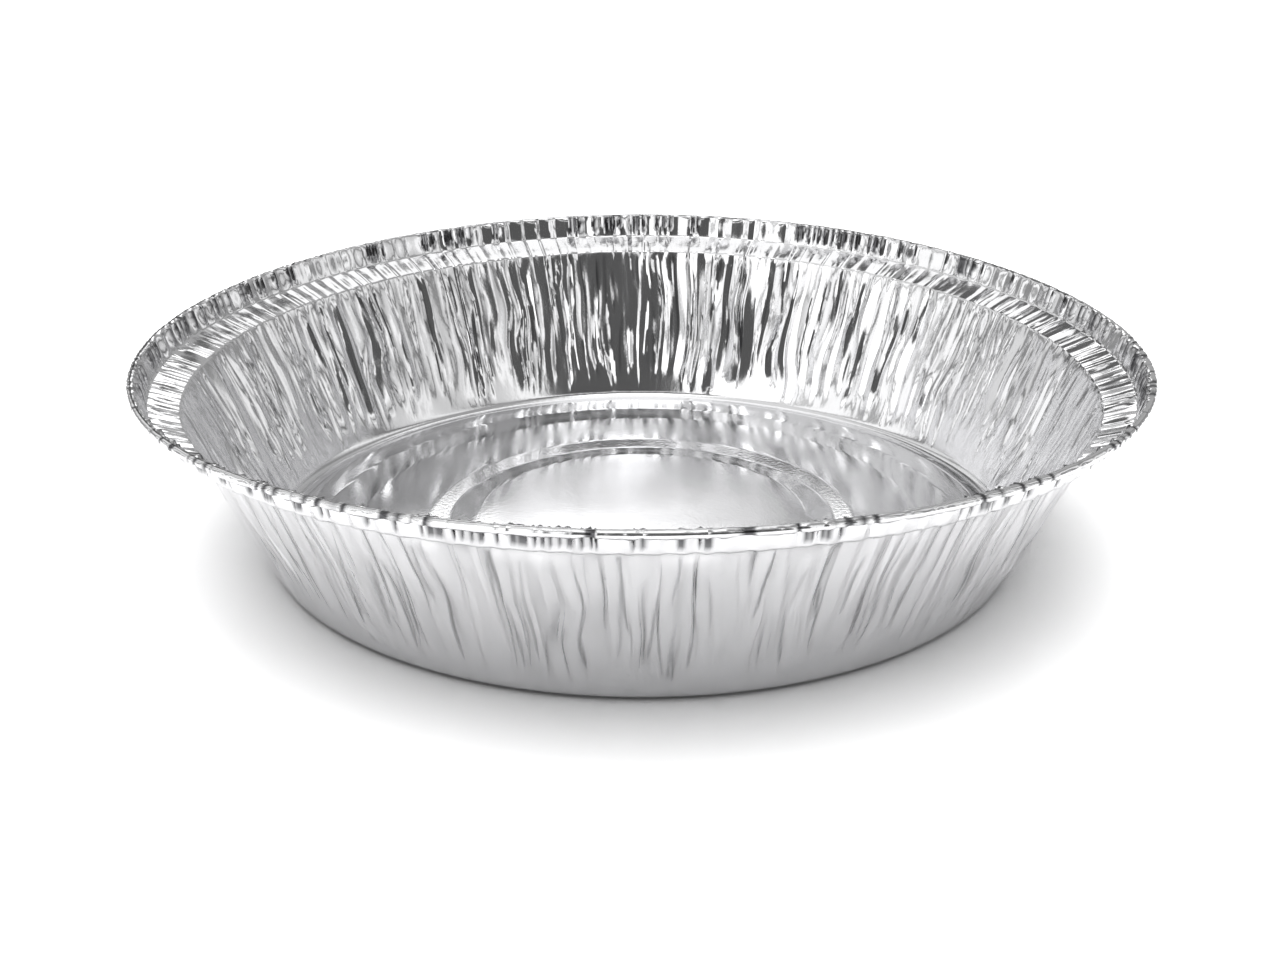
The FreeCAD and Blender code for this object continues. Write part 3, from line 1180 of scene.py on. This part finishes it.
@dataclass
class Surround:
    """A dome with grey flags and white panels, seen only in the foil."""

    radius: float = 3.0
    step: float = 2.0
    lowest: float = -2.0
    white: float = 1.2
    thrown_light: float = 0.05
    patches: tuple[Patch, ...] = (
        # above
        Patch(0.0, 78.0, 44.0, 13.0, 6.0, 1.9),
        Patch(-97.0, 66.0, 48.0, 14.0, 10.0, 0.8),
        # left
        Patch(-126.0, 25.0, 22.0, 32.0, 10.0, 0.85),
        Patch(-60.0, 25.0, 2.5, 32.0, 3.0, 0.4),
        Patch(-84.0, 25.0, 3.5, 32.0, 3.0, 0.3),
        Patch(-106.0, 25.0, 3.5, 32.0, 3.0, 0.16),
        Patch(-128.0, 25.0, 3.5, 32.0, 3.0, 0.25),
        # right
        Patch(99.0, 34.0, 50.0, 40.0, 10.0, 0.38),
        Patch(84.0, 24.0, 38.0, 28.0, 10.0, 0.72),
        Patch(62.0, 24.0, 3.5, 30.0, 4.0, 0.16),
        Patch(80.0, 24.0, 3.0, 30.0, 4.0, 1.1),
        Patch(98.0, 24.0, 4.0, 30.0, 4.0, 0.12),
        Patch(112.0, 24.0, 3.0, 30.0, 4.0, 1.1),
        Patch(134.0, 24.0, 3.0, 30.0, 6.0, 0.22),
        # the camera's side
        Patch(-38.0, 24.0, 13.0, 28.0, 8.0, 1.7),
        Patch(10.0, 22.0, 25.0, 24.0, 6.0, 0.1),
        Patch(9.0, 57.0, 44.0, 7.0, 3.0, 0.1),
        # the far side
        Patch(180.0, 6.0, 60.0, 8.0, 6.0, 0.3),
        Patch(180.0, 21.5, 11.0, 6.5, 5.0, 2.0),
        Patch(-158.0, 17.0, 8.5, 11.0, 5.0, 0.1),
        Patch(-168.0, 41.0, 18.0, 11.0, 5.0, 0.12),
        Patch(162.0, 28.0, 14.0, 20.0, 6.0, 0.42),
    )

    def brightness(self, azimuth: float, elevation: float) -> float:
        """Brightness of the dome in one direction.

        Args:
            azimuth: Direction round the tin, in degrees.
            elevation: Direction above the table, in degrees.

        Returns:
            The brightness, 1 for white.
        """
        value = self.white
        for patch in self.patches:
            across = abs((azimuth - patch.azimuth + 180.0) % 360.0 - 180.0) - patch.half_width
            up = abs(elevation - patch.elevation) - patch.half_height
            inside = float(smooth_step(np.array(0.5 - across / patch.softness)))
            inside *= float(smooth_step(np.array(0.5 - up / patch.softness)))
            value += (patch.brightness - value) * inside
        return value

    def build(self) -> bpy.types.Object:
        """Build the dome.

        Returns:
            The dome, which only the foil sees.
        """
        around = int(360 / self.step)
        up = int((90.0 - self.lowest) / self.step)
        points = []
        shades = []
        for row in range(up + 1):
            elevation = self.lowest + self.step * row
            for column in range(around):
                azimuth = self.step * column
                flat = math.cos(math.radians(elevation))
                points.append((
                    self.radius * flat * math.sin(math.radians(azimuth)),
                    -self.radius * flat * math.cos(math.radians(azimuth)),
                    self.radius * math.sin(math.radians(elevation)),
                ))
                shades.append(self.brightness(azimuth, elevation))
        faces = []
        for row in range(up):
            for column in range(around):
                after = (column + 1) % around
                low = row * around
                high = low + around
                faces.append((low + column, low + after, high + after, high + column))
        mesh = bpy.data.meshes.new("surround")
        mesh.from_pydata(points, [], faces)
        layer = mesh.attributes.new(BRIGHTNESS, "FLOAT", "POINT")
        layer.data.foreach_set("value", shades)
        mesh.materials.append(self.material())
        dome = placed("surround", mesh)
        dome.visible_camera = False
        dome.visible_diffuse = False
        dome.visible_shadow = False
        dome.visible_transmission = False
        return dome

    def material(self) -> bpy.types.Material:
        """Build the dome's glow.

        Returns:
            A glow as bright as the mesh's points say, and faint where the foil would throw it on.
        """
        material = bpy.data.materials.new("surround")
        material.use_nodes = True
        tree = material.node_tree
        tree.nodes.clear()
        rays = tree.nodes.new("ShaderNodeLightPath")
        thrown = ranged(tree, rays.outputs["Diffuse Depth"], 1.0, self.thrown_light)
        glow = tree.nodes.new("ShaderNodeEmission")
        level = combined(tree, "MULTIPLY", kept_value(tree, BRIGHTNESS), thrown)
        tree.links.new(level, glow.inputs["Strength"])
        out = tree.nodes.new("ShaderNodeOutputMaterial")
        tree.links.new(glow.outputs["Emission"], out.inputs["Surface"])
        return material


@dataclass
class Studio:
    """White table, soft light and the surroundings that the foil mirrors."""

    floor_size: float = 12.0
    floor_colour: float = 0.88
    floor_seen: float = 1.72
    floor_mirrored: float = 1.38
    world_light: float = 0.3
    lamp_from: tuple[float, float, float] = (-0.06, 0.04, 1.0)
    lamp_spread: float = 66.0
    lamp_strength: float = 2.15
    surround: Surround = field(default_factory=Surround)

    def build_floor(self) -> bpy.types.Object:
        """Lay the table.

        Returns:
            The table's top.
        """
        half = self.floor_size / 2
        mesh = bpy.data.meshes.new("table_top")
        corners = [(-half, -half, 0), (half, -half, 0), (half, half, 0), (-half, half, 0)]
        mesh.from_pydata(corners, [], [(0, 1, 2, 3)])
        table = placed("table_top", mesh)
        mesh.materials.append(self.table_material())
        return table

    def table_material(self) -> bpy.types.Material:
        """Build the table's white.

        Returns:
            Plain white, with a level each for the light that it throws, for the foil and for the camera.
        """
        material = bpy.data.materials.new("white_table")
        material.use_nodes = True
        tree = material.node_tree
        tree.nodes.clear()
        white = tree.nodes.new("ShaderNodeBsdfDiffuse")
        out = tree.nodes.new("ShaderNodeOutputMaterial")
        tree.links.new(white.outputs["BSDF"], out.inputs["Surface"])
        rays = tree.nodes.new("ShaderNodeLightPath")
        mirrored = ranged(tree, rays.outputs["Is Glossy Ray"], self.floor_colour, self.floor_mirrored)
        seen = tree.nodes.new("ShaderNodeMapRange")
        seen.inputs["To Max"].default_value = self.floor_seen
        tree.links.new(mirrored, seen.inputs["To Min"])
        tree.links.new(rays.outputs["Is Camera Ray"], seen.inputs["Value"])
        tree.links.new(seen.outputs["Result"], white.inputs["Color"])
        return material

    def build_world(self) -> None:
        """White surroundings, dimmer as a light than as a backdrop."""
        world = bpy.data.worlds.new("studio")
        bpy.context.scene.world = world
        world.use_nodes = True
        tree = world.node_tree
        background = tree.nodes["Background"]
        background.inputs["Color"].default_value = (1.0, 1.0, 1.0, 1.0)
        rays = tree.nodes.new("ShaderNodeLightPath")
        seen = combined(tree, "MAXIMUM", rays.outputs["Is Camera Ray"], rays.outputs["Is Glossy Ray"])
        seen = combined(tree, "MAXIMUM", seen, rays.outputs["Is Transmission Ray"])
        tree.links.new(ranged(tree, seen, self.world_light, 1.0), background.inputs["Strength"])

    def build_lamp(self) -> bpy.types.Object:
        """Hang one soft lamp above the tin.

        Returns:
            The lamp.
        """
        data = bpy.data.lights.new("lamp_above", "SUN")
        data.angle = math.radians(self.lamp_spread)
        data.energy = self.lamp_strength
        lamp = placed("lamp_above", data)
        lamp.location = self.lamp_from
        lamp.rotation_mode = "QUATERNION"
        lamp.rotation_quaternion = lamp.location.to_track_quat("Z", "Y")
        lamp.visible_glossy = False
        return lamp

    def build(self) -> None:
        """Build the studio and set the plain view transform."""
        self.build_floor()
        self.build_world()
        self.build_lamp()
        self.surround.build()
        bpy.context.scene.view_settings.view_transform = "Standard"
        log.info("studio: table, world, lamp and surround")


@dataclass
class Viewpoint:
    """Camera of the picture; lengths are metres."""

    distance: float = 0.38933
    elevation: float = 22.45
    aim_height: float = 0.00991
    aim_across: float = -0.00038
    focal_pixels: float = 1621.7
    picture_width: float = 1280.0
    sensor_width: float = 36.0
    nearest: float = 0.01
    farthest: float = 30.0

    def build(self) -> bpy.types.Object:
        """Set the scene's camera.

        Returns:
            The camera.
        """
        data = bpy.data.cameras.new("camera")
        data.sensor_width = self.sensor_width
        data.lens = self.focal_pixels / self.picture_width * self.sensor_width
        data.clip_start = self.nearest
        data.clip_end = self.farthest
        camera = placed("camera", data)
        rise = math.radians(self.elevation)
        back = Vector((0.0, -math.cos(rise), math.sin(rise)))
        camera.location = Vector((self.aim_across, 0.0, self.aim_height)) + back * self.distance
        camera.rotation_mode = "QUATERNION"
        camera.rotation_quaternion = (-back).to_track_quat("-Z", "Y")
        bpy.context.scene.camera = camera
        return camera


def main() -> None:
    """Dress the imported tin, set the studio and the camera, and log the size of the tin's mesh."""
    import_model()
    Viewpoint().build()
    Studio().build()
    tin = PieTin().build()
    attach(tin, ROOT_BODY)
    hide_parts(TIN_NODE)
    bpy.context.view_layer.update()


if __name__ == "__main__":
    logging.basicConfig(level=logging.INFO, stream=sys.stdout, format="%(name)s: %(message)s")
    main()
